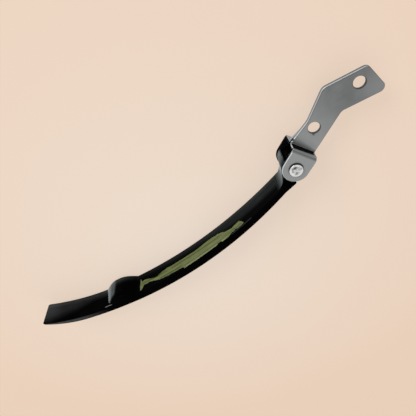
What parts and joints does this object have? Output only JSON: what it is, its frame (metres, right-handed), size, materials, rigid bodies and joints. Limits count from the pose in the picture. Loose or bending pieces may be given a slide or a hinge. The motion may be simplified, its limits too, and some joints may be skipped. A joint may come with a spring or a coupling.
{
  "type": "timing chain guide",
  "caption": "Pivoting timing chain guide: a curved rubber-faced steel arm with a plunger bump, riveted between the ears of a cranked sheet-steel bracket with bolt holes.",
  "frame": {"origin": "centre of the main bolt hole, on the bracket's rear face, which seats on the engine", "axes": "+X along the part from the arm's free end to the main bolt hole, +Z along the bolt holes toward the bolt heads, +Y toward the arm's hollow side"},
  "size_m": [0.256, 0.0433, 0.021],
  "materials": {
    "bracket_plate": "satin",
    "rear_ear_plate": "satin",
    "pivot_pin": "bright",
    "backing_strip": "satin primer",
    "rubber_shoe": "satin"
  },
  "bodies": {
    "bracket": {"bracket_plate": "bracket_plate", "rear_ear_plate": "rear_ear_plate", "pivot_pin": "pivot_pin"},
    "arm": {"backing_strip": "backing_strip", "rubber_shoe": "rubber_shoe"}
  },
  "joints": [
    {"name": "arm_pivot", "type": "hinge", "parent": "bracket", "child": "arm", "pos_m": [-0.05, -0.0155, 0], "axis": [0, 0, 1], "range_deg": [-110, 85]}
  ]
}
